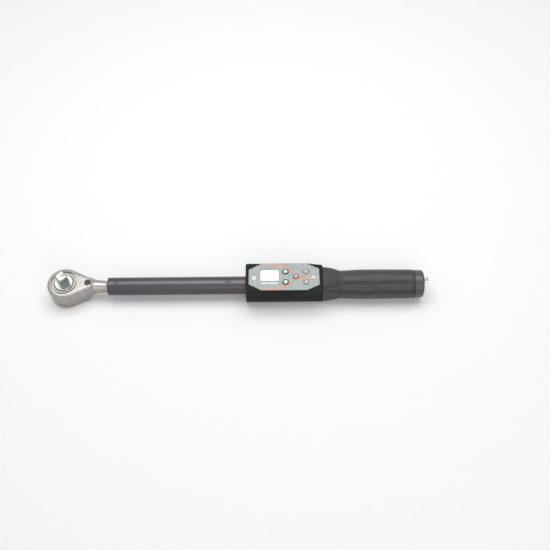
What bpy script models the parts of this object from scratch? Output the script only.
"""Digital torque wrench with a reversible ratchet head.

Units are metres and +Z is up.  X runs along the wrench, from the square drive to
the end cap.  The origin lies where the drive axis meets the flat underside of the
head, which is also the plane that the wrench rests on.
"""

import math

import bmesh
import bpy
from mathutils import Matrix, Vector

MM = 0.001

# Clearances
GAP = 0.3 * MM              # between pieces that touch or slide on each other
TOOTH_GAP = 0.15 * MM       # round the wheel's teeth when the pawl is in mesh

# Datum heights
AXIS_Z = 19.5 * MM          # tube axis above the resting plane

# Ratchet head, a drop forging
HEAD_R = 22.8 * MM
HEAD_THICK = 31.0 * MM
HEAD_EDGE = 3.6 * MM        # rounding of the forging's rims
FLANK_ANGLE = math.radians(26.0)
NECK_R = 7.4 * MM           # where the neck meets its collar
NECK_TAPER = 0.11           # growth of the neck's radius towards the head
NECK_FLARE_X = 42.0 * MM    # the neck widens into the head from here
NECK_FLARE_LEN = 11.0 * MM
NECK_FLARE = 10.0 * MM      # added radius after that length
NECK_PLAN_HALF = 8.6 * MM
COLLAR_R = 8.4 * MM
COLLAR_LEN = 2.2 * MM
HEAD_LENGTH = 58.5 * MM     # drive axis to the front face of the tube
SPIGOT_LEN = 26.0 * MM
SPIGOT_EDGE = 1.0 * MM

# Drive wheel and square
WHEEL_TEETH = 36
WHEEL_TIP_R = 15.4 * MM
WHEEL_ROOT_R = 14.1 * MM
WHEEL_BOTTOM = 6.5 * MM
WHEEL_TOP = 22.1 * MM
JOURNAL_R = 9.0 * MM
JOURNAL_BOTTOM = 3.4 * MM
HUB_R = 12.5 * MM
HUB_PROUD = 0.7 * MM
HUB_CHAMFER = 0.8 * MM
SQUARE = 12.7 * MM
SQUARE_LEN = 16.3 * MM
SQUARE_EDGE = 0.9 * MM
SQUARE_TIP_CHAMFER = 1.2 * MM
SQUARE_TURN = math.radians(41.0)
BALL_R = 2.4 * MM
BALL_PROUD = 1.1 * MM
BALL_HEIGHT = 8.3 * MM      # above the hub's top face
BALL_BORE_DEPTH = 9.6 * MM
BALL_LIP = 0.5 * MM

# Cover plate and its retaining ring
COVER_R = 17.5 * MM
COVER_THICK = 4.6 * MM
RING_THICK = 1.2 * MM
RING_WIDTH = 2.2 * MM
RING_GROOVE_DEPTH = 1.0 * MM
RING_OPENING = math.radians(26.0)

# Pawl, its pin and the direction selector
PAWL_PIVOT_X = 21.0 * MM
PAWL_PIN_R = 2.0 * MM
PAWL_REACH_R = 20.0 * MM
PAWL_HALF_ANGLE = math.radians(37.0)
PAWL_BACK = 4.2 * MM
PAWL_BACK_HALF = 4.6 * MM
PAWL_BOTTOM = 8.7 * MM
PAWL_HEIGHT = 11.0 * MM
PAWL_ROCK = math.radians(8.0)
PIN_TOP = 23.5 * MM
SELECTOR_X = 32.3 * MM
SELECTOR_R = 4.35 * MM
SELECTOR_DISC = 2.4 * MM
SELECTOR_PROUD = 0.9 * MM
SELECTOR_STEM_R = 3.3 * MM
SELECTOR_BOTTOM = 8.5 * MM
SLOT_WIDTH = 1.5 * MM
SLOT_DEPTH = 1.4 * MM
PLUNGER_R = 1.4 * MM
PLUNGER_LEN = 4.3 * MM
SELECTOR_BORE_DEPTH = 5.6 * MM
SELECTOR_SWING = math.radians(25.0)

# Tube and what it holds
TUBE_R = 12.1 * MM
TUBE_WALL = 2.0 * MM
TUBE_CHAMFER = 0.7 * MM
CROSS_PIN_R = 2.5 * MM
HEAD_PIN_INSET = 12.5 * MM  # from the tube's front face
BEAM_SHANK_R = 5.0 * MM
BEAM_SHANK_LEN = 10.0 * MM
BEAM_WIDTH = 7.0 * MM
BEAM_HEIGHT = 13.0 * MM
BEAM_END_X = 232.0 * MM
BEAM_BLOCK_LEN = 22.0 * MM
BEAM_BLOCK_FLAT = 4.8 * MM
GAUGE_X = 112.0 * MM
GAUGE_SIZE = (12.0 * MM, 0.5 * MM, 8.0 * MM)
LOOM_R = 0.9 * MM
LOOM_Y = 6.4 * MM
WIRE_SLOT_X = 300.0 * MM
WIRE_SLOT_LEN = 14.0 * MM
WIRE_SLOT_WIDTH = 7.0 * MM

# Display housing
HOUSING_X = 245.3 * MM
HOUSING_LEN = 103.6 * MM
HOUSING_HALF = 21.75 * MM
HOUSING_TAIL_LEN = 20.0 * MM
HOUSING_TAIL_HALF = 18.6 * MM
HOUSING_CORNER = 3.0 * MM
HOUSING_FOOT_HALF = 11.0 * MM
HOUSING_RIM_Z = 40.2 * MM
HOUSING_SHOULDER = 1.4 * MM
HOUSING_WALL = 2.2 * MM
HOUSING_EDGE = 0.8 * MM
PARTING_Z = 22.5 * MM
GASKET_THICK = 0.8 * MM
GASKET_WIDTH = 1.6 * MM
DECK_THICK = 2.0 * MM

# Face plate
PLATE_FRONT_INSET = 4.3 * MM
PLATE_REAR_INSET = 4.7 * MM
PLATE_HALF = 20.5 * MM
PLATE_THICK = 2.0 * MM
PLATE_PROUD = 1.1 * MM
PLATE_FRONT_CHAMFER = (16.7 * MM, 9.3 * MM)
PLATE_REAR_CHAMFER = (16.8 * MM, 8.0 * MM)

# Screen, board and keypad
WINDOW_PLACE = (0.2965, 2.9 * MM)       # share of the plate's length, and Y
WINDOW_LENGTH_SHARE = 0.2590            # of the plate's length
WINDOW_WIDTH = 17.2 * MM
WINDOW_RECESS = 0.3 * MM
WINDOW_LEDGE = 1.2 * MM
MODULE_MARGIN = 2.4 * MM
BOARD_FRONT_INSET = 8.2 * MM            # from the housing's front
BOARD_REAR_INSET = 11.4 * MM            # from the housing's rear
BOARD_HALF = 15.0 * MM
BOARD_THICK = 1.6 * MM
MAT_REAR_INSET = 2.2 * MM               # from the plate's rear
MAT_HALF = 13.0 * MM
MAT_THICK = 1.2 * MM
MAT_DOME_R = 2.2 * MM
EMBLEM_INSET = 7.1 * MM                 # from the plate's front
EMBLEM_Y = -1.5 * MM
EMBLEM_R = 3.4 * MM
EMBLEM_THICK = 0.9 * MM
EMBLEM_PROUD = 0.3 * MM

# Buttons: share of the plate's length, Y and radius of each
BUTTON_PLACES = {
    "button_up": (0.5211, 7.7 * MM, 4.3 * MM),
    "button_down": (0.5211, -8.5 * MM, 4.3 * MM),
    "button_enter": (0.6670, 0.0 * MM, 3.9 * MM),
    "button_menu": (0.8118, 7.3 * MM, 3.7 * MM),
    "button_clear": (0.8118, -8.7 * MM, 3.7 * MM),
    "button_power": (0.9186, -1.0 * MM, 3.5 * MM),
}
BUTTON_PROUD = 1.1 * MM
BUTTON_FLANGE = 0.8 * MM
BUTTON_FLANGE_THICK = 1.0 * MM
BUTTON_TRAVEL = 0.8 * MM

# Housing screws
SCREW_INSET_X = 8.0 * MM
SCREW_REAR_INSET_X = 13.5 * MM
SCREW_Y = 15.8 * MM
SCREW_REAR_Y = 14.9 * MM
SCREW_HEAD_R = 2.75 * MM
SCREW_HEAD_LEN = 3.0 * MM
SCREW_SHANK_R = 1.45 * MM
SCREW_LEN = 18.0 * MM
SCREW_HEAD_Z = 10.0 * MM
SCREW_KEY_R = 1.45 * MM
BOSS_R = 3.6 * MM

# Grip
GRIP_COLLAR_HALF = 18.5 * MM
GRIP_COLLAR_RISE = 21.6 * MM     # top of the flared collar above the tube axis
GRIP_COLLAR_POWER = 6.5          # nearly a rounded rectangle
GRIP_COLLAR_LEN = 24.0 * MM
GRIP_WAIST_R = 18.5 * MM
GRIP_BELLY_R = 19.7 * MM
GRIP_BELLY_REACH = 34.0 * MM     # from the waist to the fullest place
GRIP_TAIL_R = 19.1 * MM
GRIP_POWER = 2.1                 # nearly round
GRIP_LIFT = 0.3 * MM             # of the flattened underside above the resting plane
GRIP_GROOVES = 8
GRIP_GROOVE = 0.9 * MM

# Batteries and contacts
CARRIER_X = 352.5 * MM
CELL_R = 7.1 * MM
CELL_LEN = 49.2 * MM
CELL_NUB_R = 2.7 * MM
CELL_NUB_LEN = 1.2 * MM
CELL_ROOM = 21.6 * MM           # tube floor, contact, nubs, spring and plug
CONTACT_THICK = 0.8 * MM
SPRING_WIRE_R = 0.45 * MM
SPRING_TURNS = 3

# End cap
CAP_LEN = 13.2 * MM
CAP_R = 18.9 * MM
CAP_EDGE = 3.2 * MM
CAP_PLUG_LEN = 9.0 * MM
RING_SECTION_R = 0.7 * MM
RING_PLACE = 3.0 * MM
STUD_RISE = 12.2 * MM       # above the tube axis
STUD_HEAD_R = 2.4 * MM
STUD_HEAD_LEN = 5.2 * MM
STUD_SHANK_R = 1.5 * MM
STUD_SHANK_LEN = 5.5 * MM

# Port for data, in the far side of the housing
PORT_INSET = 30.9 * MM     # from the housing's rear
PORT_SIZE = (7.7 * MM, 7.0 * MM, 3.9 * MM)
PORT_SHELL = 0.5 * MM

# Derived places
HEAD_TOP = HEAD_THICK
HUB_TOP = HEAD_TOP + HUB_PROUD
DRIVE_TOP = HUB_TOP + SQUARE_LEN
CAVITY_R = WHEEL_TIP_R + 2 * GAP
COVER_BOTTOM = WHEEL_TOP + GAP
COVER_TOP = COVER_BOTTOM + COVER_THICK
SPIGOT_R = TUBE_R - TUBE_WALL - GAP
SPIGOT_END_X = HEAD_LENGTH + SPIGOT_LEN
HEAD_PIN_X = HEAD_LENGTH + HEAD_PIN_INSET
HOUSING_END_X = HOUSING_X + HOUSING_LEN
PLATE_X = HOUSING_X + PLATE_FRONT_INSET
PLATE_LEN = HOUSING_LEN - PLATE_FRONT_INSET - PLATE_REAR_INSET
WINDOW_CENTRE = (PLATE_X + WINDOW_PLACE[0] * PLATE_LEN, WINDOW_PLACE[1])
WINDOW_SIZE = (WINDOW_LENGTH_SHARE * PLATE_LEN, WINDOW_WIDTH)
BUTTONS = {name: (PLATE_X + share * PLATE_LEN, y, radius)
           for name, (share, y, radius) in BUTTON_PLACES.items()}
EMBLEM_X = PLATE_X + EMBLEM_INSET
PLATE_TOP = HOUSING_RIM_Z + PLATE_PROUD
PLATE_BOTTOM = PLATE_TOP - PLATE_THICK
DECK_TOP = PLATE_BOTTOM - GAP
DECK_BOTTOM = DECK_TOP - DECK_THICK
BOARD_X = HOUSING_X + BOARD_FRONT_INSET
BOARD_END_X = HOUSING_END_X - BOARD_REAR_INSET
BOARD_Z = AXIS_Z + TUBE_R + GAP
BOARD_TOP = BOARD_Z + BOARD_THICK
MAT_X = WINDOW_CENTRE[0] + WINDOW_SIZE[0] / 2 + MODULE_MARGIN + GAP
MAT_END_X = PLATE_X + PLATE_LEN - MAT_REAR_INSET
MAT_BOTTOM = BOARD_TOP + GAP
MAT_TOP = MAT_BOTTOM + MAT_THICK
PORT_X = HOUSING_END_X - PORT_INSET
PORT_Z = BOARD_Z - GAP - PORT_SIZE[2] / 2
CARRIER_R = TUBE_R - TUBE_WALL - GAP
GRIP_END_X = CARRIER_X + 2 * CELL_LEN + CELL_ROOM
CAP_FACE_X = GRIP_END_X + GAP
CAP_END_X = CAP_FACE_X + CAP_LEN
TUBE_END_X = GRIP_END_X - GAP
PLUG_START_X = CAP_FACE_X - CAP_PLUG_LEN
CARRIER_END_X = PLUG_START_X - GAP
STUD_END_X = CAP_END_X + GAP + STUD_HEAD_LEN

# Facets round a turned piece, by its size
FINE = 32
MEDIUM = 20
COARSE = 12

ALONG_X = (0.0, math.pi / 2, 0.0)
UPRIGHT = (0.0, 0.0, 0.0)


# Scene, materials and objects

def clear_scene():
    """Remove whatever the file holds."""
    for old in list(bpy.data.objects):
        bpy.data.objects.remove(old, do_unlink=True)


def collection(name):
    """Make a collection and link it to the scene."""
    group = bpy.data.collections.new(name)
    bpy.context.scene.collection.children.link(group)
    return group


def material(name, colour, roughness, metallic=0.0):
    """Make a Principled material."""
    made = bpy.data.materials.new(name)
    made.use_nodes = True
    shader = made.node_tree.nodes["Principled BSDF"]
    shader.inputs["Base Color"].default_value = (*colour, 1.0)
    shader.inputs["Roughness"].default_value = roughness
    shader.inputs["Metallic"].default_value = metallic
    return made


def link(obj, group):
    """Put an object in one collection."""
    group.objects.link(obj)
    return obj


def evaluated_mesh(obj):
    """Return the mesh of an object with its modifiers applied, cleaned and facing out."""
    bpy.context.view_layer.update()
    graph = bpy.context.evaluated_depsgraph_get()
    mesh = bpy.data.meshes.new_from_object(obj.evaluated_get(graph))
    work = bmesh.new()
    work.from_mesh(mesh)
    bmesh.ops.remove_doubles(work, verts=work.verts, dist=0.000002)
    bmesh.ops.recalc_face_normals(work, faces=work.faces)
    work.to_mesh(mesh)
    work.free()
    return mesh


def settle(obj):
    """Replace an object by a mesh object with its modifiers applied, in the same place."""
    name = obj.name
    mesh = evaluated_mesh(obj)
    place = obj.matrix_world.copy()
    group = obj.users_collection[0]
    bpy.data.objects.remove(obj, do_unlink=True)
    settled = bpy.data.objects.new(name, mesh)
    settled.matrix_world = place
    return link(settled, group)


def shape(name, mesh, group, location=(0, 0, 0), rotation=UPRIGHT):
    """Place a mesh as an object."""
    obj = bpy.data.objects.new(name, mesh)
    obj.location = location
    obj.rotation_euler = rotation
    return link(obj, group)


def boolean(obj, tool, operation="DIFFERENCE"):
    """Cut, join or intersect an object with another."""
    cut = obj.modifiers.new(tool.name, "BOOLEAN")
    cut.operation = operation
    cut.solver = "EXACT"
    cut.object = tool
    return obj


def bevel(obj, width, segments=2, angle=30.0):
    """Round the edges that are sharper than an angle."""
    rounding = obj.modifiers.new("rounding", "BEVEL")
    rounding.width = width
    rounding.segments = segments
    rounding.limit_method = "ANGLE"
    rounding.angle_limit = math.radians(angle)
    return obj


# Basic forms

def box(name, group, low, high):
    """A box between two corners, with its origin at its centre."""
    mesh = bpy.data.meshes.new(name)
    size = [top - bottom for bottom, top in zip(low, high)]
    centre = [(top + bottom) / 2 for bottom, top in zip(low, high)]
    work = bmesh.new()
    bmesh.ops.create_cube(work, size=1.0)
    bmesh.ops.scale(work, vec=size, verts=work.verts)
    work.to_mesh(mesh)
    work.free()
    return shape(name, mesh, group, centre)


def cylinder(name, group, radius, start, end, centre=(0, 0), rotation=UPRIGHT, steps=FINE):
    """A cylinder along Z, or along X when it is turned, from start to end."""
    mesh = bpy.data.meshes.new(name)
    work = bmesh.new()
    bmesh.ops.create_cone(work, cap_ends=True, segments=steps, radius1=radius,
                          radius2=radius, depth=end - start)
    work.to_mesh(mesh)
    work.free()
    middle = (start + end) / 2
    if rotation == ALONG_X:
        return shape(name, mesh, group, (middle, centre[0], centre[1]), rotation)
    return shape(name, mesh, group, (centre[0], centre[1], middle), rotation)


def turned(name, group, profile, location, rotation=UPRIGHT, steps=FINE):
    """A solid of revolution: (radius, height) points, down the outer side from the top."""
    mesh = bpy.data.meshes.new(name)
    work = bmesh.new()
    points = [work.verts.new((radius, 0.0, height)) for radius, height in profile]
    for first, second in zip(points, points[1:]):
        work.edges.new((first, second))
    if profile[0][0] > 0.0 or profile[-1][0] > 0.0:
        work.edges.new((points[-1], points[0]))
    work.to_mesh(mesh)
    work.free()
    obj = shape(name, mesh, group, location, rotation)
    screw = obj.modifiers.new("turning", "SCREW")
    screw.steps = steps
    screw.render_steps = steps
    screw.use_merge_vertices = True
    screw.merge_threshold = 0.000005
    return settle(obj)


def outline_solid(name, group, loops, bottom, top, rotation=UPRIGHT):
    """A flat outline with holes, extruded between two heights."""
    curve = bpy.data.curves.new(name, "CURVE")
    curve.dimensions = "2D"
    curve.fill_mode = "BOTH"
    curve.extrude = (top - bottom) / 2
    for loop in loops:
        spline = curve.splines.new("POLY")
        spline.points.add(len(loop) - 1)
        for point, (x, y) in zip(spline.points, loop):
            point.co = (x, y, 0.0, 1.0)
        spline.use_cyclic_u = True
    obj = bpy.data.objects.new(name, curve)
    middle = (bottom + top) / 2
    if rotation == UPRIGHT:
        obj.location = (0.0, 0.0, middle)
    else:
        obj.rotation_euler = rotation
    link(obj, group)
    return settle(obj)


def wire(name, group, points, radius, cyclic=False, sides=2):
    """A round wire along a list of points."""
    curve = bpy.data.curves.new(name, "CURVE")
    curve.dimensions = "3D"
    curve.bevel_depth = radius
    curve.bevel_resolution = sides
    curve.use_fill_caps = True
    spline = curve.splines.new("POLY")
    spline.points.add(len(points) - 1)
    for point, place in zip(spline.points, points):
        point.co = (*place, 1.0)
    spline.use_cyclic_u = cyclic
    obj = bpy.data.objects.new(name, curve)
    link(obj, group)
    return settle(obj)


def loft(name, group, sections):
    """A solid through closed sections that have the same number of points."""
    mesh = bpy.data.meshes.new(name)
    work = bmesh.new()
    rings = [[work.verts.new(point) for point in section] for section in sections]
    count = len(rings[0])
    for ring, following in zip(rings, rings[1:]):
        for i in range(count):
            j = (i + 1) % count
            work.faces.new((ring[i], ring[j], following[j], following[i]))
    work.faces.new(rings[0])
    work.faces.new(rings[-1])
    bmesh.ops.recalc_face_normals(work, faces=work.faces)
    work.to_mesh(mesh)
    work.free()
    return shape(name, mesh, group)


def arc(centre, radius, start, end, steps):
    """Points of an arc from one angle to another, both included."""
    angles = [start + (end - start) * i / steps for i in range(steps + 1)]
    return [(centre[0] + radius * math.cos(a), centre[1] + radius * math.sin(a)) for a in angles]


def circle(centre, radius, steps=MEDIUM):
    """Points of a whole circle."""
    return arc(centre, radius, 0.0, 2 * math.pi * (1 - 1 / steps), steps - 1)


def rectangle(centre, size):
    """Corner points of a rectangle."""
    x, y = centre
    half_x, half_y = size[0] / 2, size[1] / 2
    return [(x - half_x, y - half_y), (x + half_x, y - half_y),
            (x + half_x, y + half_y), (x - half_x, y + half_y)]


def mirrored_outline(upper):
    """Close an outline whose upper half runs from its front point to its rear point."""
    return upper + [(x, -y) for x, y in reversed(upper) if abs(y) > 1e-9]


def finish(obj, parts, finish_material, sharp=30.0):
    """Settle a piece, shade it and give it its material."""
    piece = settle(obj)
    for owner in list(piece.users_collection):
        owner.objects.unlink(piece)
    parts.objects.link(piece)
    piece.data.materials.clear()
    piece.data.materials.append(finish_material)
    piece.data.shade_smooth()
    piece.data.set_sharp_from_angle(angle=math.radians(sharp))
    return piece


def move_origin(piece, place):
    """Put an object's origin at a point without moving its mesh."""
    shift = piece.matrix_world.inverted() @ Vector(place)
    piece.data.transform(Matrix.Translation(-shift))
    piece.location = Vector(place)
    return piece


# Ratchet head

def head_plan(inset=0.0):
    """Outline of the head seen from above: a circle that runs into the neck."""
    half = NECK_PLAN_HALF - inset
    upper = arc((0.0, 0.0), HEAD_R - inset, math.pi, math.pi / 2 - FLANK_ANGLE, 13)
    start_x, start_y = upper[-1]
    slope = math.tan(FLANK_ANGLE)
    corner_x = start_x + (start_y - half) / slope
    blend = 2.4 * MM
    upper += [(corner_x - blend, half + blend * slope), (corner_x, half + blend * slope * 0.35),
              (corner_x + blend, half), (HEAD_LENGTH - COLLAR_LEN / 2, half)]
    return mirrored_outline(upper)


def neck_radius(x):
    """Radius of the forging about the tube axis: a slim neck that flares into the head."""
    flare = max(NECK_FLARE_X - x, 0.0) / NECK_FLARE_LEN
    return NECK_R + NECK_TAPER * (HEAD_LENGTH - x) + NECK_FLARE * flare ** 2


def neck_form(tools):
    """Solid of revolution about the tube axis that shapes the neck and the head's shoulder."""
    stations = [HEAD_LENGTH, (HEAD_LENGTH + NECK_FLARE_X) / 2]
    stations += [NECK_FLARE_X - share * NECK_FLARE_LEN
                 for share in (0.0, 0.2, 0.4, 0.6, 0.8, 1.0, 1.25, 1.6)]
    wide = 2 * HEAD_R
    profile = [(0.0, HEAD_LENGTH)] + [(neck_radius(x), x) for x in stations]
    profile += [(wide, stations[-1] - MM), (wide, -wide), (0.0, -wide)]
    return turned("neck_form", tools, profile, (0, 0, AXIS_Z), ALONG_X)


def forged_form(tools):
    """The forging before machining: a slab with round rims, drawn down to the neck."""
    rim = [(HEAD_EDGE * (1 - math.sin(a)), HEAD_EDGE * (1 - math.cos(a)))
           for a in (0.0, math.radians(30), math.radians(60), math.pi / 2)]
    levels = rim + [(inset, HEAD_TOP - height) for inset, height in reversed(rim)]
    sections = [[(x, y, z) for x, y in head_plan(inset)] for inset, z in levels]
    form = loft("ratchet_head", tools, sections)
    boolean(form, neck_form(tools), "INTERSECT")
    return settle(form)


def head_spigot(tools):
    """Collar and spigot that carry the forging in the tube."""
    start = HEAD_LENGTH - COLLAR_LEN
    profile = [(0.0, SPIGOT_END_X), (SPIGOT_R - SPIGOT_EDGE, SPIGOT_END_X),
               (SPIGOT_R, SPIGOT_END_X - SPIGOT_EDGE), (SPIGOT_R, HEAD_LENGTH + TUBE_CHAMFER),
               (SPIGOT_R - TUBE_CHAMFER, HEAD_LENGTH), (COLLAR_R, HEAD_LENGTH),
               (COLLAR_R, start + COLLAR_LEN / 2), (COLLAR_R - COLLAR_LEN / 4, start),
               (NECK_R - SPIGOT_EDGE, start - COLLAR_LEN), (0.0, start - COLLAR_LEN)]
    return turned("spigot_form", tools, profile, (0, 0, AXIS_Z), ALONG_X)


def selector_bore(tools):
    """Stepped bore for the selector's disc and stem."""
    shelf = HEAD_TOP + SELECTOR_PROUD - SELECTOR_DISC - GAP
    profile = [(0.0, HEAD_TOP + 5 * MM), (SELECTOR_R + GAP, HEAD_TOP + 5 * MM),
               (SELECTOR_R + GAP, shelf), (SELECTOR_STEM_R + GAP, shelf),
               (SELECTOR_STEM_R + GAP, SELECTOR_BOTTOM - GAP), (0.0, SELECTOR_BOTTOM - GAP)]
    return turned("selector_bore", tools, profile, (SELECTOR_X, 0, 0), steps=MEDIUM)


def wheel_cavity(tools):
    """Cavity for the wheel, its lower journal, the cover plate and the ring groove."""
    mouth = COVER_R + GAP
    groove = mouth + RING_GROOVE_DEPTH
    ring_bottom = COVER_TOP + GAP
    ring_top = ring_bottom + RING_THICK + 2 * GAP
    profile = [(0.0, HEAD_TOP + 5 * MM), (mouth, HEAD_TOP + 5 * MM), (mouth, ring_top),
               (groove, ring_top), (groove, ring_bottom - GAP), (mouth, ring_bottom - GAP),
               (mouth, COVER_BOTTOM - GAP), (CAVITY_R, COVER_BOTTOM - GAP),
               (CAVITY_R, WHEEL_BOTTOM - GAP), (JOURNAL_R + GAP, WHEEL_BOTTOM - GAP),
               (JOURNAL_R + GAP, JOURNAL_BOTTOM - GAP), (0.0, JOURNAL_BOTTOM - GAP)]
    return turned("wheel_cavity", tools, profile, (0, 0, 0))


def pawl_pocket(tools):
    """Pocket that lets the pawl rock, opened towards the selector's plunger."""
    reach = PAWL_REACH_R + 2.6 * MM
    half = PAWL_HALF_ANGLE + math.radians(5.0)
    back = PAWL_PIVOT_X + PAWL_BACK + 1.6 * MM
    outline = arc((0, 0), reach, -half, half, 8)
    outline += arc((0, 0), CAVITY_R - 2 * MM, half, -half, 4)
    pocket = outline_solid("pawl_pocket", tools, [outline],
                           PAWL_BOTTOM - GAP, PAWL_BOTTOM + PAWL_HEIGHT + GAP)
    passage = box("plunger_passage", tools,
                  (CAVITY_R, -PAWL_BACK_HALF - 1.6 * MM, PAWL_BOTTOM - GAP),
                  (back, PAWL_BACK_HALF + 1.6 * MM, PAWL_BOTTOM + PAWL_HEIGHT + GAP))
    swing = (SELECTOR_X - back + MM) * math.sin(SELECTOR_SWING)
    window = box("plunger_window", tools,
                 (back - 1 * MM, -swing - PLUNGER_R - 0.6 * MM, PAWL_BOTTOM + 2 * MM),
                 (SELECTOR_X, swing + PLUNGER_R + 0.6 * MM, PAWL_BOTTOM + PAWL_HEIGHT - 2 * MM))
    return pocket, passage, window


def make_ratchet_head(parts, tools, steel):
    """Forged head with its neck, spigot and machined cavities."""
    head = forged_form(tools)
    boolean(head, head_spigot(tools), "UNION")
    head = settle(head)
    boolean(head, wheel_cavity(tools))
    boolean(head, selector_bore(tools))
    for tool in pawl_pocket(tools):
        boolean(head, tool)
    boolean(head, cylinder("pawl_pin_bore", tools, PAWL_PIN_R + GAP, -MM, PIN_TOP + GAP,
                           (PAWL_PIVOT_X, 0), steps=COARSE))
    boolean(head, cylinder("head_pin_bore", tools, CROSS_PIN_R + GAP, 0.0, 2 * AXIS_Z,
                           (HEAD_PIN_X, 0), steps=COARSE))
    boolean(head, cylinder("beam_bore", tools, BEAM_SHANK_R + GAP,
                           SPIGOT_END_X - BEAM_SHANK_LEN - GAP, SPIGOT_END_X + MM,
                           (0, AXIS_Z), ALONG_X, MEDIUM))
    return finish(head, parts, steel)


# Drive wheel

def tooth_outline(clearance=0.0):
    """Outline of the toothed wheel, with flat tips and roots."""
    tip = WHEEL_TIP_R + clearance
    root = WHEEL_ROOT_R + clearance
    pitch = 2 * math.pi / WHEEL_TEETH
    tip_half = pitch * 0.10 + clearance / WHEEL_TIP_R
    root_half = pitch * 0.10 - clearance / WHEEL_TIP_R * 0.5
    points = []
    for i in range(WHEEL_TEETH):
        gap_centre = i * pitch
        tooth_centre = gap_centre + pitch / 2
        for radius, angle in ((root, gap_centre - root_half), (root, gap_centre + root_half),
                              (tip, tooth_centre - tip_half), (tip, tooth_centre + tip_half)):
            points.append((radius * math.cos(angle), radius * math.sin(angle)))
    return points


def drive_hub(tools):
    """Hub and lower journal of the drive wheel."""
    profile = [(0.0, HUB_TOP), (HUB_R - HUB_CHAMFER, HUB_TOP), (HUB_R, HUB_TOP - HUB_CHAMFER),
               (HUB_R, WHEEL_TOP - MM), (JOURNAL_R, WHEEL_TOP - MM),
               (JOURNAL_R, JOURNAL_BOTTOM), (0.0, JOURNAL_BOTTOM)]
    return turned("hub_form", tools, profile, (0, 0, 0))


def drive_tang(tools):
    """The square itself, with broken edges and a chamfered tip."""
    half = SQUARE / 2
    tang = box("tang_form", tools, (-half, -half, HUB_TOP - 2 * MM), (half, half, DRIVE_TOP))
    tang.rotation_euler = (0, 0, SQUARE_TURN)
    bevel(tang, SQUARE_EDGE, 2)
    tang = settle(tang)
    tip_r = half * math.sqrt(2) - SQUARE_EDGE * 0.4
    cone = [(0.0, DRIVE_TOP), (half - 0.2 * MM, DRIVE_TOP),
            (tip_r, DRIVE_TOP - SQUARE_TIP_CHAMFER - 1.4 * MM),
            (half * 2, DRIVE_TOP - SQUARE_TIP_CHAMFER - 1.4 * MM),
            (half * 2, HUB_TOP - 4 * MM), (0.0, HUB_TOP - 4 * MM)]
    boolean(tang, turned("tang_tip_form", tools, cone, (0, 0, 0), steps=32), "INTERSECT")
    return settle(tang)


def ball_place():
    """Centre of the detent ball and the direction that it is pressed in."""
    outward = Vector((math.cos(SQUARE_TURN - math.pi), math.sin(SQUARE_TURN - math.pi), 0.0))
    centre = outward * (SQUARE / 2 + BALL_PROUD - BALL_R)
    centre.z = HUB_TOP + BALL_HEIGHT
    return centre, outward


def ball_bore(tools):
    """Bore for the detent ball, with a narrower mouth that keeps it in."""
    centre, outward = ball_place()
    face = SQUARE / 2
    mouth = math.sqrt(BALL_R ** 2 - (BALL_R - BALL_PROUD) ** 2) + GAP
    profile = [(0.0, face + 2 * MM), (mouth, face + 2 * MM), (mouth, face - BALL_LIP),
               (BALL_R + GAP, face - BALL_LIP - 0.3 * MM), (BALL_R + GAP, face - BALL_BORE_DEPTH),
               (0.0, face - BALL_BORE_DEPTH)]
    turn = (0.0, math.pi / 2, math.atan2(outward.y, outward.x))
    return turned("ball_bore", tools, profile, (0, 0, centre.z), turn, steps=COARSE)


def make_drive(parts, tools, chrome):
    """Ratchet wheel, hub and square in one piece."""
    drive = outline_solid("drive_square", tools, [tooth_outline()], WHEEL_BOTTOM, WHEEL_TOP)
    boolean(drive, drive_hub(tools), "UNION")
    drive = settle(drive)
    boolean(drive, drive_tang(tools), "UNION")
    boolean(drive, ball_bore(tools))
    return move_origin(finish(drive, parts, chrome), (0, 0, 0))


def make_drive_ball(parts, tools, polished):
    """Detent ball in the side of the square."""
    centre, _ = ball_place()
    mesh = bpy.data.meshes.new("drive_ball")
    work = bmesh.new()
    bmesh.ops.create_uvsphere(work, u_segments=14, v_segments=9, radius=BALL_R)
    work.to_mesh(mesh)
    work.free()
    return finish(shape("drive_ball", mesh, tools, centre), parts, polished, 60.0)


def make_cover_plate(parts, tools, steel):
    """Round plate that closes the wheel's cavity round the hub."""
    profile = [(COVER_R - 0.5 * MM, COVER_TOP), (COVER_R, COVER_TOP - 0.5 * MM),
               (COVER_R, COVER_BOTTOM), (HUB_R + GAP, COVER_BOTTOM),
               (HUB_R + GAP, COVER_TOP)]
    plate = turned("cover_plate", tools, profile, (0, 0, 0))
    return finish(plate, parts, steel)


def make_retaining_ring(parts, tools, spring_steel):
    """Open snap ring that sprung into its groove holds the cover plate down."""
    outer = COVER_R + RING_GROOVE_DEPTH
    inner = outer - RING_WIDTH
    half = RING_OPENING / 2
    outline = arc((0, 0), outer, half, 2 * math.pi - half, FINE)
    outline += arc((0, 0), inner, 2 * math.pi - half, half, FINE)
    bottom = COVER_TOP + GAP
    ring = outline_solid("retaining_ring", tools, [outline], bottom, bottom + RING_THICK)
    ring.rotation_euler = (0, 0, math.radians(130.0))
    return finish(ring, parts, spring_steel)


# Pawl and selector

def rocked_wheel(tools, angle):
    """The toothed wheel as the pawl sees it when it has rocked by an angle."""
    wheel = outline_solid("pawl_mesh_form", tools, [tooth_outline(TOOTH_GAP)],
                          PAWL_BOTTOM - MM, PAWL_BOTTOM + PAWL_HEIGHT + MM)
    pivot = Vector((PAWL_PIVOT_X, 0, 0))
    turn = Matrix.Rotation(-angle, 4, "Z")
    wheel.matrix_world = (Matrix.Translation(pivot) @ turn @ Matrix.Translation(-pivot)
                          @ wheel.matrix_world)
    return wheel


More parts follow.
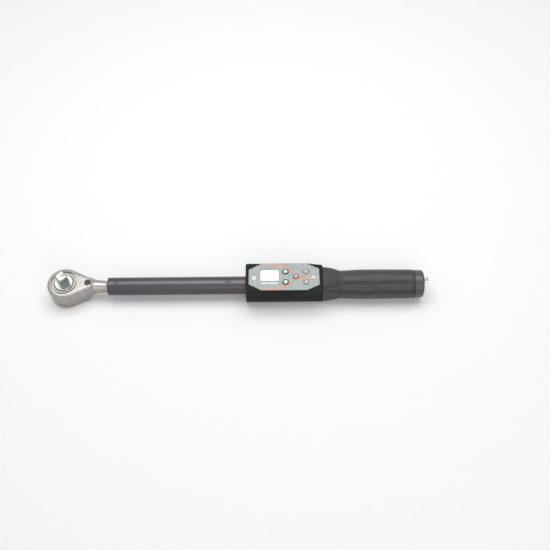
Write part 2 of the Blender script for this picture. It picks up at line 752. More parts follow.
def make_pawl(parts, tools, hardened):
    """Rocking pawl: a crescent with teeth at both horns and a flat back."""
    inner = WHEEL_TIP_R + GAP
    top = PAWL_BOTTOM + PAWL_HEIGHT
    back = PAWL_PIVOT_X + PAWL_BACK
    outline = arc((0, 0), inner, PAWL_HALF_ANGLE, -PAWL_HALF_ANGLE, 18)
    outline += arc((0, 0), PAWL_REACH_R, -PAWL_HALF_ANGLE, -math.radians(14.0), 5)
    outline += [(back, -PAWL_BACK_HALF), (back, PAWL_BACK_HALF)]
    outline += arc((0, 0), PAWL_REACH_R, math.radians(14.0), PAWL_HALF_ANGLE, 5)
    pawl = outline_solid("pawl", tools, [outline], PAWL_BOTTOM, top)
    for angle in (PAWL_ROCK, -PAWL_ROCK):
        boolean(pawl, rocked_wheel(tools, angle))
    boolean(pawl, cylinder("pawl_bore", tools, PAWL_PIN_R + GAP, PAWL_BOTTOM - MM, top + MM,
                           (PAWL_PIVOT_X, 0), steps=COARSE))
    return move_origin(finish(pawl, parts, hardened), (PAWL_PIVOT_X, 0, PAWL_BOTTOM))


def make_pawl_pin(parts, tools, polished):
    """Pin that the pawl rocks on, pressed in from the underside."""
    pin = cylinder("pawl_pin", tools, PAWL_PIN_R, 0.5 * MM, PIN_TOP, (PAWL_PIVOT_X, 0),
                   steps=COARSE)
    return finish(bevel(pin, 0.3 * MM, 1), parts, polished)


def plunger_height():
    """Height of the plunger's axis, halfway up the pawl."""
    return PAWL_BOTTOM + PAWL_HEIGHT / 2


def make_selector(parts, tools, steel):
    """Slotted disc on a stem; turning it leans the plunger on either side of the pawl."""
    top = HEAD_TOP + SELECTOR_PROUD
    edge = 0.4 * MM
    profile = [(0.0, top), (SELECTOR_R - edge, top), (SELECTOR_R, top - edge),
               (SELECTOR_R, top - SELECTOR_DISC), (SELECTOR_STEM_R, top - SELECTOR_DISC),
               (SELECTOR_STEM_R, SELECTOR_BOTTOM), (0.0, SELECTOR_BOTTOM)]
    selector = turned("selector", tools, profile, (SELECTOR_X, 0, 0), steps=MEDIUM)
    slot = box("selector_slot", tools,
               (-SELECTOR_R * 2, -SLOT_WIDTH / 2, top - SLOT_DEPTH),
               (SELECTOR_R * 2, SLOT_WIDTH / 2, top + MM))
    slot.location.x = SELECTOR_X
    slot.rotation_euler = (0, 0, math.radians(-40.0))
    boolean(selector, slot)
    bore_start = SELECTOR_X - SELECTOR_STEM_R - MM
    bore_end = SELECTOR_X - SELECTOR_STEM_R + SELECTOR_BORE_DEPTH
    boolean(selector, cylinder("plunger_bore", tools, PLUNGER_R + GAP, bore_start, bore_end,
                               (0, plunger_height()), ALONG_X, COARSE))
    return move_origin(finish(selector, parts, steel), (SELECTOR_X, 0, SELECTOR_BOTTOM))


def plunger_tip_x():
    """X of the plunger's tip, just clear of the pawl's back."""
    return PAWL_PIVOT_X + PAWL_BACK + GAP


def make_selector_plunger(parts, tools, polished):
    """Round-nosed plunger that leans on the pawl."""
    tip = plunger_tip_x()
    nose = PLUNGER_R * 0.6
    profile = [(0.0, tip + PLUNGER_LEN), (PLUNGER_R, tip + PLUNGER_LEN), (PLUNGER_R, tip + nose),
               (PLUNGER_R * 0.6, tip + nose * 0.25), (0.0, tip)]
    plunger = turned("selector_plunger", tools, profile, (0, 0, plunger_height()), ALONG_X,
                     COARSE)
    return finish(plunger, parts, polished)


def helix(centre, radius_start, radius_end, start, end, turns, steps, along):
    """Points of a coil that runs along X or Z."""
    points = []
    for i in range(turns * steps + 1):
        share = i / (turns * steps)
        angle = 2 * math.pi * i / steps
        radius = radius_start + (radius_end - radius_start) * share
        a, b = radius * math.cos(angle), radius * math.sin(angle)
        run = start + (end - start) * share
        if along == "X":
            points.append((run, centre[0] + a, centre[1] + b))
        else:
            points.append((centre[0] + a, centre[1] + b, run))
    return points


def make_selector_spring(parts, tools, spring_steel):
    """Coil that pushes the plunger out of the stem."""
    thread = 0.25 * MM
    start = plunger_tip_x() + PLUNGER_LEN + GAP + thread
    end = SELECTOR_X - SELECTOR_STEM_R + SELECTOR_BORE_DEPTH - GAP - thread
    radius = PLUNGER_R - thread
    points = helix((0, plunger_height()), radius, radius, start, end, 3, 8, "X")
    return finish(wire("selector_spring", tools, points, thread, sides=1), parts, spring_steel, 60.0)


# Tube, beam and wiring

def make_tube(parts, tools, dark_steel):
    """Long steel tube from the head through the housing to the end of the grip."""
    bore = TUBE_R - TUBE_WALL
    profile = [(TUBE_R, TUBE_END_X), (TUBE_R, HEAD_LENGTH + TUBE_CHAMFER),
               (TUBE_R - TUBE_CHAMFER, HEAD_LENGTH), (bore, HEAD_LENGTH), (bore, TUBE_END_X)]
    tube = turned("main_tube", tools, profile, (0, 0, AXIS_Z), ALONG_X)
    for name, place in (("tube_front_pin_bore", HEAD_PIN_X),
                        ("tube_rear_pin_bore", BEAM_END_X - BEAM_BLOCK_LEN / 2)):
        boolean(tube, cylinder(name, tools, CROSS_PIN_R + GAP, -MM, 2 * AXIS_Z + MM,
                               (place, 0), steps=COARSE))
    slot_half = WIRE_SLOT_LEN / 2
    slot = box("wire_slot", tools,
               (WIRE_SLOT_X - slot_half, -WIRE_SLOT_WIDTH / 2, AXIS_Z + bore / 2),
               (WIRE_SLOT_X + slot_half, WIRE_SLOT_WIDTH / 2, AXIS_Z + TUBE_R + MM))
    boolean(tube, slot)
    return finish(tube, parts, dark_steel)


def make_cross_pin(name, place, parts, tools, polished):
    """Pin through the tube and what it holds, flush with the tube's outside."""
    reach = math.sqrt(TUBE_R ** 2 - CROSS_PIN_R ** 2)
    pin = cylinder(name, tools, CROSS_PIN_R, AXIS_Z - reach, AXIS_Z + reach, (place, 0),
                   steps=COARSE)
    return finish(bevel(pin, 0.3 * MM, 1), parts, polished)


def make_beam(parts, tools, steel):
    """Measuring beam: round shank in the head, flat gauge section, block pinned in the tube."""
    start = SPIGOT_END_X - BEAM_SHANK_LEN
    flat_start = SPIGOT_END_X + 3 * MM
    block_start = BEAM_END_X - BEAM_BLOCK_LEN
    beam = cylinder("measuring_beam", tools, BEAM_SHANK_R, start, flat_start + MM,
                    (0, AXIS_Z), ALONG_X, MEDIUM)
    bar = box("beam_bar", tools, (flat_start, -BEAM_WIDTH / 2, AXIS_Z - BEAM_HEIGHT / 2),
              (block_start + MM, BEAM_WIDTH / 2, AXIS_Z + BEAM_HEIGHT / 2))
    block = cylinder("beam_block", tools, SPIGOT_R, block_start, BEAM_END_X, (0, AXIS_Z),
                     ALONG_X, MEDIUM)
    boolean(beam, bar, "UNION")
    boolean(beam, block, "UNION")
    flat = box("beam_flat", tools, (block_start - MM, BEAM_BLOCK_FLAT, 0),
               (BEAM_END_X + MM, 2 * TUBE_R, 2 * AXIS_Z))
    boolean(beam, flat)
    boolean(beam, cylinder("beam_pin_bore", tools, CROSS_PIN_R + GAP, 0, 2 * AXIS_Z,
                           (BEAM_END_X - BEAM_BLOCK_LEN / 2, 0), steps=COARSE))
    return finish(beam, parts, steel)


def make_gauge(name, side, parts, tools, foil):
    """Strain gauge pad on one flank of the beam."""
    length, thick, height = GAUGE_SIZE
    near = BEAM_WIDTH / 2 + GAP
    low, high = sorted((side * near, side * (near + thick)))
    pad = box(name, tools, (GAUGE_X - length / 2, low, AXIS_Z - height / 2),
              (GAUGE_X + length / 2, high, AXIS_Z + height / 2))
    return finish(pad, parts, foil)


def make_wire_loom(parts, tools, sheath):
    """Wires from the gauges along the beam, up through the tube's slot to the board."""
    start = GAUGE_X + GAUGE_SIZE[0] / 2 + GAP + LOOM_R
    block_start = BEAM_END_X - BEAM_BLOCK_LEN
    rise = WIRE_SLOT_X - 2 * MM
    points = [(start, BEAM_WIDTH / 2 + GAP + LOOM_R, AXIS_Z),
              (start + 6 * MM, BEAM_WIDTH / 2 + 2 * LOOM_R, AXIS_Z),
              (block_start - 8 * MM, BEAM_WIDTH / 2 + 2 * LOOM_R, AXIS_Z),
              (block_start - 2 * MM, LOOM_Y, AXIS_Z), (BEAM_END_X + 3 * MM, LOOM_Y, AXIS_Z),
              (rise - 20 * MM, LOOM_Y * 0.6, AXIS_Z), (rise - 9 * MM, LOOM_Y * 0.2, AXIS_Z + MM),
              (rise - 3 * MM, 0.0, AXIS_Z + 3 * MM), (rise - 0.6 * MM, 0.0, AXIS_Z + 6 * MM),
              (rise, 0.0, AXIS_Z + 9 * MM), (rise, 0.0, BOARD_Z - GAP)]
    return finish(wire("wire_loom", tools, points, LOOM_R), parts, sheath, 60.0)


# Display housing

def housing_plan(inset=0.0):
    """Outline of the housing seen from above, with its tail drawn in to the grip."""
    front = HOUSING_X + inset
    rear = HOUSING_END_X - inset
    half = HOUSING_HALF - inset
    tail_half = HOUSING_TAIL_HALF - inset
    shoulder = HOUSING_END_X - HOUSING_TAIL_LEN
    corner = max(HOUSING_CORNER - inset, 0.6 * MM)
    upper = arc((front + corner, half - corner), corner, math.pi, math.pi / 2, 4)
    upper += [(shoulder - 4 * MM, half), (shoulder, half - 0.5 * MM),
              (rear - MM, tail_half + 0.3 * MM), (rear, tail_half - 0.6 * MM)]
    return mirrored_outline(upper)


def housing_section(inset=0.0):
    """Outline of the housing seen from the front: narrow foot, wide shoulders."""
    half = HOUSING_HALF + MM - inset
    foot = HOUSING_FOOT_HALF - inset * 0.5
    top = HOUSING_RIM_Z if inset == 0.0 else DECK_BOTTOM
    shoulder = HOUSING_SHOULDER if inset == 0.0 else 0.0
    right = [(foot, inset), (foot + 5.2 * MM, 1.8 * MM + inset),
             (half - 2.8 * MM, 8.0 * MM + inset), (half - 0.5 * MM, 14.0 * MM + inset),
             (half, 20.0 * MM), (half, top - shoulder)]
    if shoulder:
        right.append((half - shoulder, top))
    return right + [(-y, z) for y, z in reversed(right)]


def section_extrusion(name, tools, outline, start, end):
    """A section in Y and Z, extruded along X."""
    solid = outline_solid(name, tools, [outline], 0.0, end - start)
    turn = Matrix(((0, 0, 1, start), (1, 0, 0, 0), (0, 1, 0, 0), (0, 0, 0, 1)))
    solid.matrix_world = turn @ Matrix.Translation((0, 0, (end - start) / 2))
    return solid


def housing_form(name, tools, inset=0.0):
    """The housing's outer or inner form: plan and section met."""
    bottom = inset
    top = HOUSING_RIM_Z if inset == 0.0 else DECK_BOTTOM
    form = outline_solid(name, tools, [housing_plan(inset)], bottom, top)
    section = section_extrusion(name + "_section", tools, housing_section(inset),
                                HOUSING_X - MM, HOUSING_END_X + MM)
    boolean(form, section, "INTERSECT")
    return settle(form)


def screw_places():
    """Places of the four housing screws."""
    front = HOUSING_X + SCREW_INSET_X
    rear = HOUSING_END_X - SCREW_REAR_INSET_X
    return [(front, SCREW_Y), (front, -SCREW_Y), (rear, SCREW_REAR_Y), (rear, -SCREW_REAR_Y)]


def tube_passage(tools):
    """Cutter for the tube's way through the housing."""
    return cylinder("tube_passage", tools, TUBE_R + GAP, HOUSING_X - 5 * MM,
                    HOUSING_END_X + 5 * MM, (0, AXIS_Z), ALONG_X, FINE)


def cut_half(obj, tools, name, low_z, high_z):
    """Remove everything of the housing between two heights."""
    half = HOUSING_HALF * 2
    boolean(obj, box(name, tools, (HOUSING_X - 5 * MM, -half, low_z),
                     (HOUSING_END_X + 5 * MM, half, high_z)))


def add_screw_posts(obj, tools, prefix, bottom, top):
    """Join a round post for each screw to a shell."""
    for i, place in enumerate(screw_places()):
        boolean(obj, cylinder(f"{prefix}_{i}", tools, BOSS_R, bottom, top, place, steps=COARSE), "UNION")


def cut_screw_bores(obj, tools, prefix, radius, bottom, top):
    """Bore a hole for each screw."""
    for i, place in enumerate(screw_places()):
        boolean(obj, cylinder(f"{prefix}_{i}", tools, radius, bottom, top, place, steps=COARSE))


def make_housing_lower(parts, tools, black):
    """Lower shell: a tub with its screw posts, which clamps the tube from below."""
    top = PARTING_Z - GASKET_THICK / 2 - GAP
    shell = housing_form("housing_lower", tools)
    bevel(shell, HOUSING_EDGE, 1, 38.0)
    shell = settle(shell)
    boolean(shell, housing_form("housing_lower_inside", tools, HOUSING_WALL))
    cut_half(shell, tools, "above_lower", top, HOUSING_RIM_Z + 5 * MM)
    shell = settle(shell)
    add_screw_posts(shell, tools, "lower_post", SCREW_HEAD_Z - 3 * MM, top)
    shell = settle(shell)
    cut_screw_bores(shell, tools, "lower_head_bore", SCREW_HEAD_R + GAP, -MM, SCREW_HEAD_Z + GAP)
    cut_screw_bores(shell, tools, "lower_shank_bore", SCREW_SHANK_R + GAP, 0.0, top + MM)
    boolean(shell, tube_passage(tools))
    return finish(shell, parts, black)


def make_housing_upper(parts, tools, black):
    """Upper shell with its deck, the recess for the plate and the keypad's holes."""
    bottom = PARTING_Z + GASKET_THICK / 2 + GAP
    shell = housing_form("housing_upper", tools)
    bevel(shell, HOUSING_EDGE, 1, 38.0)
    shell = settle(shell)
    boolean(shell, housing_form("housing_upper_inside", tools, HOUSING_WALL))
    cut_half(shell, tools, "below_upper", -5 * MM, bottom)
    shell = settle(shell)
    add_screw_posts(shell, tools, "upper_post", bottom, DECK_BOTTOM + MM)
    shell = settle(shell)
    recess = outline_solid("plate_recess", tools, [plate_outline(GAP)], DECK_TOP,
                           HOUSING_RIM_Z + 5 * MM)
    boolean(shell, recess)
    window = box("window_hole", tools,
                 (WINDOW_CENTRE[0] - WINDOW_SIZE[0] / 2, WINDOW_CENTRE[1] - WINDOW_SIZE[1] / 2,
                  DECK_BOTTOM - MM),
                 (WINDOW_CENTRE[0] + WINDOW_SIZE[0] / 2, WINDOW_CENTRE[1] + WINDOW_SIZE[1] / 2,
                  DECK_TOP + MM))
    boolean(shell, window)
    for name, (x, y, radius) in BUTTONS.items():
        boolean(shell, cylinder(name + "_deck_hole", tools, radius + BUTTON_FLANGE + GAP,
                                DECK_BOTTOM - MM, DECK_TOP + MM, (x, y), steps=COARSE))
    cut_screw_bores(shell, tools, "upper_pilot", SCREW_SHANK_R + GAP, bottom - MM,
                    SCREW_HEAD_Z + SCREW_LEN + 3 * MM)
    boolean(shell, tube_passage(tools))
    length, depth, height = PORT_SIZE
    boolean(shell, box("port_hole", tools,
                       (PORT_X - length / 2 - GAP, HOUSING_HALF - HOUSING_WALL - MM,
                        PORT_Z - height / 2 - GAP),
                       (PORT_X + length / 2 + GAP, HOUSING_HALF + MM,
                        PORT_Z + height / 2 + GAP)))
    return finish(shell, parts, black)


def make_gasket(name, side, parts, tools, rubber):
    """Flat seal between the shells along one side, from tube to tube."""
    bottom = PARTING_Z - GASKET_THICK / 2
    seal = outline_solid(name, tools, [housing_plan(GAP), housing_plan(GAP + GASKET_WIDTH)],
                         bottom, bottom + GASKET_THICK)
    near, far = sorted((side * TUBE_R / 2, -side * 2 * HOUSING_HALF))
    boolean(seal, box(name + "_other_side", tools, (HOUSING_X - MM, near, bottom - MM),
                      (HOUSING_END_X + MM, far, bottom + GASKET_THICK + MM)))
    boolean(seal, tube_passage(tools))
    return finish(seal, parts, rubber)


def make_screw(name, place, parts, tools, zinc):
    """Cap screw with a hexagon socket, entered from the underside."""
    bottom = SCREW_HEAD_Z - SCREW_HEAD_LEN
    profile = [(0.0, bottom + SCREW_HEAD_LEN + SCREW_LEN),
               (SCREW_SHANK_R, SCREW_HEAD_Z + SCREW_LEN), (SCREW_SHANK_R, SCREW_HEAD_Z),
               (SCREW_HEAD_R, SCREW_HEAD_Z), (SCREW_HEAD_R, bottom + 0.3 * MM),
               (SCREW_HEAD_R - 0.3 * MM, bottom), (0.0, bottom)]
    screw = turned(name, tools, profile, (place[0], place[1], 0), steps=COARSE)
    boolean(screw, cylinder(name + "_key", tools, SCREW_KEY_R, bottom - MM,
                            bottom + SCREW_HEAD_LEN * 0.6, place, steps=6))
    return finish(screw, parts, zinc)


def plate_outline(spread=0.0):
    """Eight-sided outline of the face plate."""
    front, rear = PLATE_X - spread, PLATE_X + PLATE_LEN + spread
    half = PLATE_HALF + spread
    front_run, front_drop = PLATE_FRONT_CHAMFER
    rear_run, rear_drop = PLATE_REAR_CHAMFER
    upper = [(front, half - front_drop), (front + front_run, half),
             (rear - rear_run, half), (rear, half - rear_drop)]
    return mirrored_outline(upper)


def make_faceplate(parts, tools, aluminium):
    """Face plate with openings for the screen, the buttons and the emblem disc."""
    loops = [plate_outline(), rectangle(WINDOW_CENTRE, WINDOW_SIZE)]
    for x, y, radius in BUTTONS.values():
        loops.append(circle((x, y), radius + GAP))
    plate = outline_solid("faceplate", tools, loops, PLATE_BOTTOM, PLATE_TOP)
    boolean(plate, cylinder("emblem_recess", tools, EMBLEM_R + GAP,
                            PLATE_TOP + EMBLEM_PROUD - EMBLEM_THICK - GAP, PLATE_TOP + MM,
                            (EMBLEM_X, EMBLEM_Y), steps=MEDIUM))
    return finish(plate, parts, aluminium)


def make_emblem(parts, tools, silver):
    """Plain disc let into the plate."""
    top = PLATE_TOP + EMBLEM_PROUD
    edge = 0.2 * MM
    profile = [(0.0, top), (EMBLEM_R - edge, top), (EMBLEM_R, top - edge),
               (EMBLEM_R, top - EMBLEM_THICK), (0.0, top - EMBLEM_THICK)]
    disc = turned("emblem_disc", tools, profile, (EMBLEM_X, EMBLEM_Y, 0), steps=MEDIUM)
    return finish(disc, parts, silver)


def make_window(parts, tools, clear):
    """Screen window, set in the plate and the deck."""
    half_x, half_y = WINDOW_SIZE[0] / 2 - GAP, WINDOW_SIZE[1] / 2 - GAP
    x, y = WINDOW_CENTRE
    pane = box("screen_window", tools, (x - half_x, y - half_y, DECK_TOP - WINDOW_LEDGE),
               (x + half_x, y + half_y, PLATE_TOP - WINDOW_RECESS))
    return finish(bevel(pane, 0.3 * MM, 1), parts, clear)


def make_display(parts, tools, glass):
    """Display module between the board and the window."""
    half_x, half_y = WINDOW_SIZE[0] / 2 + MODULE_MARGIN, WINDOW_SIZE[1] / 2 + MODULE_MARGIN
    x, y = WINDOW_CENTRE
    module = box("display_module", tools, (x - half_x, y - half_y, BOARD_TOP + GAP),
                 (x + half_x, y + half_y, DECK_BOTTOM - GAP))
    return finish(module, parts, glass)


def make_board(parts, tools, green):
    """Circuit board over the tube."""
    board = box("circuit_board", tools, (BOARD_X, -BOARD_HALF, BOARD_Z),
                (BOARD_END_X, BOARD_HALF, BOARD_TOP))
    cut_screw_bores(board, tools, "board_notch", BOSS_R + GAP, BOARD_Z - MM, BOARD_TOP + MM)
    return finish(board, parts, green)


def button_bottom():
    """Height of the underside of a button's flange."""
    return PLATE_BOTTOM - GAP - BUTTON_FLANGE_THICK


def make_keypad(parts, tools, silicone):
    """Silicone mat with a dome under each button."""
    mat = box("keypad_mat", tools, (MAT_X, -MAT_HALF, MAT_BOTTOM),
              (MAT_END_X, MAT_HALF, MAT_TOP))
    dome_top = button_bottom() - BUTTON_TRAVEL - GAP
    for name, (x, y, _) in BUTTONS.items():
        profile = [(0.0, dome_top), (MAT_DOME_R, dome_top), (MAT_DOME_R, MAT_TOP + 1.5 * MM),
                   (MAT_DOME_R + 1.0 * MM, MAT_TOP - 0.2 * MM), (0.0, MAT_TOP - 0.2 * MM)]
        boolean(mat, turned(name + "_dome", tools, profile, (x, y, 0), steps=COARSE), "UNION")
    cut_screw_bores(mat, tools, "mat_notch", BOSS_R + GAP, MAT_BOTTOM - MM, DECK_TOP)
    return finish(mat, parts, silicone)


def make_button(name, parts, tools, finish_material):
    """Domed key with a flange under the plate."""
    x, y, radius = BUTTONS[name]
    bottom = button_bottom()
    top = PLATE_TOP + BUTTON_PROUD
    dish = radius * 0.62
    profile = [(0.0, top - 0.1 * MM), (dish * 0.6, top), (dish, top - 0.15 * MM),
               (radius - 0.5 * MM, top - 0.55 * MM), (radius, top - BUTTON_PROUD * 0.95),
               (radius, bottom + BUTTON_FLANGE_THICK),
               (radius + BUTTON_FLANGE, bottom + BUTTON_FLANGE_THICK),
               (radius + BUTTON_FLANGE, bottom), (0.0, bottom)]
    key = turned(name, tools, profile, (x, y, 0), steps=MEDIUM)
    return move_origin(finish(key, parts, finish_material), (x, y, bottom))


def make_port(parts, tools, nickel):
    """Metal shell of the data socket, fixed on the board's edge."""
    length, depth, height = PORT_SIZE
    outer = HOUSING_HALF - 0.6 * MM
    low = (PORT_X - length / 2, outer - depth, PORT_Z - height / 2)
    high = (PORT_X + length / 2, outer, PORT_Z + height / 2)
    shell = box("data_socket", tools, low, high)
    inner = box("data_socket_mouth", tools,
                (low[0] + PORT_SHELL, low[1] + MM, low[2] + PORT_SHELL),
                (high[0] - PORT_SHELL, high[1] + MM, high[2] - PORT_SHELL))
    boolean(shell, inner)
    shell = settle(shell)
    boolean(shell, box("data_socket_tongue", tools,
                       (low[0] + 1.4 * MM, low[1] + 0.5 * MM, PORT_Z - 0.4 * MM),
                       (high[0] - 1.4 * MM, high[1] - 1.2 * MM, PORT_Z + 0.4 * MM)), "UNION")
    return finish(shell, parts, nickel)


# Grip and battery compartment

def grip_section(x, half_width, rise, power, groove):
    """One closed section of the grip, between a rectangle and an oval, with its grooves."""
    drop = min(rise, AXIS_Z - GRIP_LIFT)
    pitch = 360.0 / GRIP_GROOVES
    points = []
    for i in range(GRIP_GROOVES):
        for share, depth in ((-0.1, 0.0), (0.0, groove), (0.1, 0.0), (0.37, 0.0), (0.63, 0.0)):
            angle = math.radians((i + 0.5 + share) * pitch)
            side, up = math.cos(angle), math.sin(angle)
            scale = (abs(side) ** power + abs(up) ** power) ** (-1 / power)
            y = side * scale * (half_width - depth)
            z = up * scale * ((rise if up > 0 else drop) - depth)
            points.append((x, y, AXIS_Z + z))
    return points


def smooth(share):
    """Ease from 0 to 1."""
    return share * share * (3 - 2 * share)


def between(first, second, share):
    """Value between two others."""
    return first + (second - first) * share


def grip_sections():
    """Sections of the grip from the flared collar over the waist to the tail."""
    start = HOUSING_END_X + GAP
    waist = start + GRIP_COLLAR_LEN
    belly = waist + GRIP_BELLY_REACH
    sections = []
    for share in (0.0, 0.08, 0.25, 0.42, 0.6, 0.8, 1.0):
        ease = smooth(share)
        half = between(GRIP_COLLAR_HALF, GRIP_WAIST_R, ease)
        rise = between(GRIP_COLLAR_RISE, GRIP_WAIST_R, ease)
        power = between(GRIP_COLLAR_POWER, GRIP_POWER, share ** 0.6)
        sections.append(grip_section(between(start, waist, share), half, rise, power,
                                     GRIP_GROOVE * share))
    for share in (0.3, 0.65, 1.0):
        radius = between(GRIP_WAIST_R, GRIP_BELLY_R, smooth(share))
        sections.append(grip_section(between(waist, belly, share), radius, radius, GRIP_POWER,
                                     GRIP_GROOVE))
    for share, groove in ((0.4, 1.0), (0.8, 1.0), (0.9, 0.0), (1.0, 0.0)):
        radius = between(GRIP_BELLY_R, GRIP_TAIL_R, smooth(share))
        sections.append(grip_section(between(belly, GRIP_END_X, share), radius, radius,
                                     GRIP_POWER, GRIP_GROOVE * groove))
    return sections


def make_grip(parts, tools, rubber):
    """Moulded grip over the tube, flared where it meets the housing."""
    grip = loft("grip_sleeve", tools, grip_sections())
    boolean(grip, cylinder("grip_bore", tools, TUBE_R + GAP, HOUSING_END_X - MM,
                           GRIP_END_X + MM, (0, AXIS_Z), ALONG_X, FINE))
    return finish(grip, parts, rubber, 40.0)


def make_battery_carrier(parts, tools, black):
    """Plastic tube that holds the cells, closed at the front."""
    bore = CELL_R + GAP
    floor = CARRIER_X + 1.5 * MM
    profile = [(CARRIER_R, CARRIER_END_X), (CARRIER_R, CARRIER_X), (0.0, CARRIER_X)]
    profile += [(0.0, floor), (bore, floor), (bore, CARRIER_END_X)]
    solid = turned("battery_carrier", tools, [(0.0, CARRIER_END_X)] + profile[:3],
                   (0, 0, AXIS_Z), ALONG_X, MEDIUM)
    boolean(solid, cylinder("carrier_bore", tools, bore, floor, CARRIER_END_X + MM,
                            (0, AXIS_Z), ALONG_X, MEDIUM))
    return finish(solid, parts, black)


def contact_start():
    """X of the front contact plate."""
    return CARRIER_X + 1.5 * MM + GAP


def cell_start(index):
    """X of a cell's positive end."""
    first = contact_start() + CONTACT_THICK + GAP
    return first + index * (CELL_LEN + CELL_NUB_LEN + GAP)


def make_cell(index, parts, tools, foil):
    """Round cell with its positive nub to the front."""
    start = cell_start(index)
    body = start + CELL_NUB_LEN
    end = body + CELL_LEN
    edge = 0.5 * MM
    profile = [(0.0, end), (CELL_R - edge, end), (CELL_R, end - edge), (CELL_R, body + edge),
               (CELL_R - edge, body), (CELL_NUB_R, body), (CELL_NUB_R, start), (0.0, start)]
    cell = turned(f"battery_cell_{index + 1}", tools, profile, (0, 0, AXIS_Z), ALONG_X, MEDIUM)
    return finish(cell, parts, foil)


def make_front_contact(parts, tools, nickel):
    """Contact plate at the closed end of the carrier."""
    start = contact_start()
    plate = cylinder("battery_contact", tools, CELL_R - 0.5 * MM, start, start + CONTACT_THICK,
                     (0, AXIS_Z), ALONG_X, MEDIUM)
    return finish(plate, parts, nickel)


def make_end_cap(parts, tools, black):
    """Screwed cap that closes the battery tube, with a groove for its ring."""
    plug = TUBE_R - TUBE_WALL - GAP
    groove_middle = CAP_FACE_X - RING_PLACE
    groove_half = RING_SECTION_R + GAP
    groove_r = plug - 2 * RING_SECTION_R - GAP
    edge = CAP_EDGE
    profile = [(0.0, CAP_END_X), (CAP_R - edge * 1.6, CAP_END_X)]
    profile += [(CAP_R - edge + edge * math.sin(a), CAP_END_X - edge + edge * math.cos(a))
                for a in (math.radians(25), math.radians(50), math.radians(75))]
    profile += [(CAP_R, CAP_END_X - edge * 1.2), (CAP_R, CAP_FACE_X + 0.8 * MM),
                (CAP_R - 0.8 * MM, CAP_FACE_X), (plug, CAP_FACE_X),
                (plug, groove_middle + groove_half), (groove_r, groove_middle + groove_half),
                (groove_r, groove_middle - groove_half), (plug, groove_middle - groove_half),
                (plug, PLUG_START_X + 0.8 * MM), (plug - 0.8 * MM, PLUG_START_X),
                (0.0, PLUG_START_X)]
    cap = turned("end_cap", tools, profile, (0, 0, AXIS_Z), ALONG_X)
    boolean(cap, cylinder("cap_bore", tools, STUD_SHANK_R + GAP,
                          CAP_END_X - STUD_SHANK_LEN - GAP, CAP_END_X + MM,
                          (0, AXIS_Z + STUD_RISE), ALONG_X, COARSE))
    return move_origin(finish(cap, parts, black), (CAP_FACE_X, 0, AXIS_Z))


def make_cap_ring(parts, tools, rubber):
    """Sealing ring in the cap's groove."""
    plug = TUBE_R - TUBE_WALL - GAP
    bpy.ops.mesh.primitive_torus_add(
        major_radius=plug - RING_SECTION_R, minor_radius=RING_SECTION_R,
        major_segments=MEDIUM, minor_segments=6,
        location=(CAP_FACE_X - RING_PLACE, 0, AXIS_Z), rotation=ALONG_X)
    ring = bpy.context.active_object
    ring.name = "cap_ring"
    return finish(ring, parts, rubber, 60.0)


def make_cap_stud(parts, tools, polished):
    """Round-headed stud near the rim of the cap's end, for a wrist strap."""
    head_start = CAP_END_X + GAP
    edge = 0.8 * MM
    profile = [(0.0, STUD_END_X), (STUD_HEAD_R - edge * 1.4, STUD_END_X),
               (STUD_HEAD_R - edge * 0.4, STUD_END_X - edge * 0.4),
               (STUD_HEAD_R, STUD_END_X - edge * 1.4), (STUD_HEAD_R, head_start),
               (STUD_SHANK_R, head_start), (STUD_SHANK_R, CAP_END_X - STUD_SHANK_LEN),
               (0.0, CAP_END_X - STUD_SHANK_LEN)]
    stud = turned("cap_stud", tools, profile, (0, 0, AXIS_Z + STUD_RISE), ALONG_X, MEDIUM)
    return finish(stud, parts, polished)


def make_battery_spring(parts, tools, spring_steel):
    """Conical coil between the last cell and the cap."""
    start = cell_start(1) + CELL_NUB_LEN + CELL_LEN + GAP + SPRING_WIRE_R
    end = PLUG_START_X - GAP - SPRING_WIRE_R
    points = helix((0, AXIS_Z), 3.2 * MM, 6.2 * MM, start, end, SPRING_TURNS, 9, "X")
    return finish(wire("battery_spring", tools, points, SPRING_WIRE_R, sides=1), parts, spring_steel, 60.0)


# Assembly

def make_materials():
    """Materials of the wrench's pieces."""
    return {
        "steel": material("forged_steel", (0.42, 0.41, 0.40), 0.38, 1.0),
        "chrome": material("polished_steel", (0.62, 0.63, 0.63), 0.2, 1.0),
        "plate_steel": material("ground_steel", (0.5, 0.49, 0.48), 0.3, 1.0),
        "spring": material("spring_steel", (0.25, 0.25, 0.26), 0.35, 1.0),
        "hardened": material("hardened_steel", (0.3, 0.29, 0.28), 0.45, 1.0),
        "dark_steel": material("blued_steel", (0.06, 0.06, 0.06), 0.42, 0.6),
        "black": material("black_plastic", (0.02, 0.02, 0.02), 0.5),
        "rubber": material("grip_rubber", (0.035, 0.035, 0.035), 0.62),
        "seal": material("seal_rubber", (0.015, 0.015, 0.015), 0.7),
        "aluminium": material("plate_aluminium", (0.4, 0.41, 0.41), 0.4, 0.7),
        "silver": material("silver_plastic", (0.7, 0.7, 0.68), 0.35, 0.3),
        "window": material("clear_window", (0.9, 0.92, 0.94), 0.1),
        "display": material("display_glass", (0.75, 0.8, 0.82), 0.2),
        "board": material("board_laminate", (0.03, 0.16, 0.06), 0.5),
        "key": material("key_rubber", (0.55, 0.55, 0.54), 0.55),
        "key_red": material("key_red_rubber", (0.6, 0.12, 0.05), 0.5),
        "silicone": material("pale_silicone", (0.6, 0.6, 0.58), 0.6),
        "foil": material("gauge_foil", (0.5, 0.28, 0.12), 0.4, 0.3),
        "sheath": material("wire_sheath", (0.1, 0.1, 0.11), 0.6),
        "zinc": material("zinc_screw", (0.45, 0.45, 0.44), 0.35, 1.0),
        "nickel": material("nickel_plate", (0.6, 0.58, 0.52), 0.25, 1.0),
        "cell": material("cell_wrap", (0.12, 0.13, 0.15), 0.35),
    }


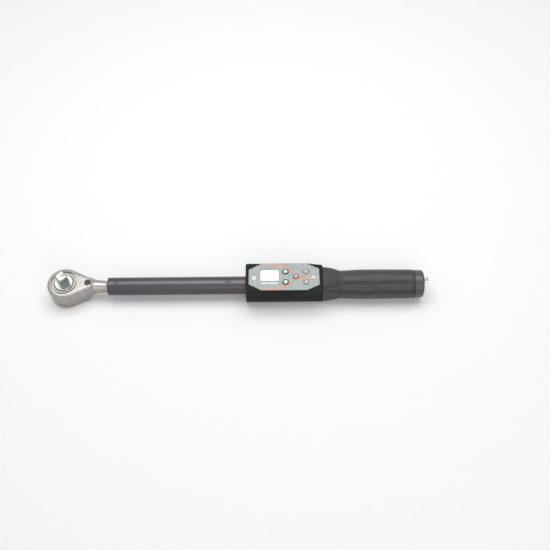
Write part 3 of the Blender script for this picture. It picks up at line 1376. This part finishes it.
def build_head(parts, tools, mats):
    """Ratchet head with its mechanism."""
    make_ratchet_head(parts, tools, mats["steel"])
    make_drive(parts, tools, mats["chrome"])
    make_drive_ball(parts, tools, mats["chrome"])
    make_cover_plate(parts, tools, mats["plate_steel"])
    make_retaining_ring(parts, tools, mats["spring"])
    make_pawl(parts, tools, mats["hardened"])
    make_pawl_pin(parts, tools, mats["hardened"])
    make_selector(parts, tools, mats["plate_steel"])
    make_selector_plunger(parts, tools, mats["hardened"])
    make_selector_spring(parts, tools, mats["spring"])


def build_tube(parts, tools, mats):
    """Tube, measuring beam and wiring."""
    make_tube(parts, tools, mats["dark_steel"])
    make_cross_pin("head_pin", HEAD_PIN_X, parts, tools, mats["hardened"])
    make_cross_pin("beam_pin", BEAM_END_X - BEAM_BLOCK_LEN / 2, parts, tools, mats["hardened"])
    make_beam(parts, tools, mats["steel"])
    make_gauge("strain_gauge_left", 1, parts, tools, mats["foil"])
    make_gauge("strain_gauge_right", -1, parts, tools, mats["foil"])
    make_wire_loom(parts, tools, mats["sheath"])


def build_housing(parts, tools, mats):
    """Display housing, its electronics and its keys."""
    make_housing_lower(parts, tools, mats["black"])
    make_housing_upper(parts, tools, mats["black"])
    make_gasket("housing_seal_left", 1, parts, tools, mats["seal"])
    make_gasket("housing_seal_right", -1, parts, tools, mats["seal"])
    for i, place in enumerate(screw_places()):
        make_screw(f"housing_screw_{i + 1}", place, parts, tools, mats["zinc"])
    make_faceplate(parts, tools, mats["aluminium"])
    make_emblem(parts, tools, mats["silver"])
    make_window(parts, tools, mats["window"])
    make_display(parts, tools, mats["display"])
    make_board(parts, tools, mats["board"])
    make_keypad(parts, tools, mats["silicone"])
    make_port(parts, tools, mats["nickel"])
    for name in BUTTONS:
        finish_material = mats["key_red"] if name == "button_enter" else mats["key"]
        make_button(name, parts, tools, finish_material)


def build_grip(parts, tools, mats):
    """Grip, batteries and end cap."""
    make_grip(parts, tools, mats["rubber"])
    make_battery_carrier(parts, tools, mats["black"])
    make_front_contact(parts, tools, mats["nickel"])
    for index in range(2):
        make_cell(index, parts, tools, mats["cell"])
    make_battery_spring(parts, tools, mats["spring"])
    make_end_cap(parts, tools, mats["black"])
    make_cap_ring(parts, tools, mats["seal"])
    make_cap_stud(parts, tools, mats["chrome"])


def hide_cutters(tools):
    """Keep the construction forms out of sight."""
    for tool in tools.objects:
        tool.hide_render = True
        tool.display_type = "WIRE"


def main():
    """Build the wrench."""
    clear_scene()
    parts = collection("digital_torque_wrench")
    tools = collection("cutters")
    mats = make_materials()
    build_head(parts, tools, mats)
    build_tube(parts, tools, mats)
    build_housing(parts, tools, mats)
    build_grip(parts, tools, mats)
    hide_cutters(tools)


main()
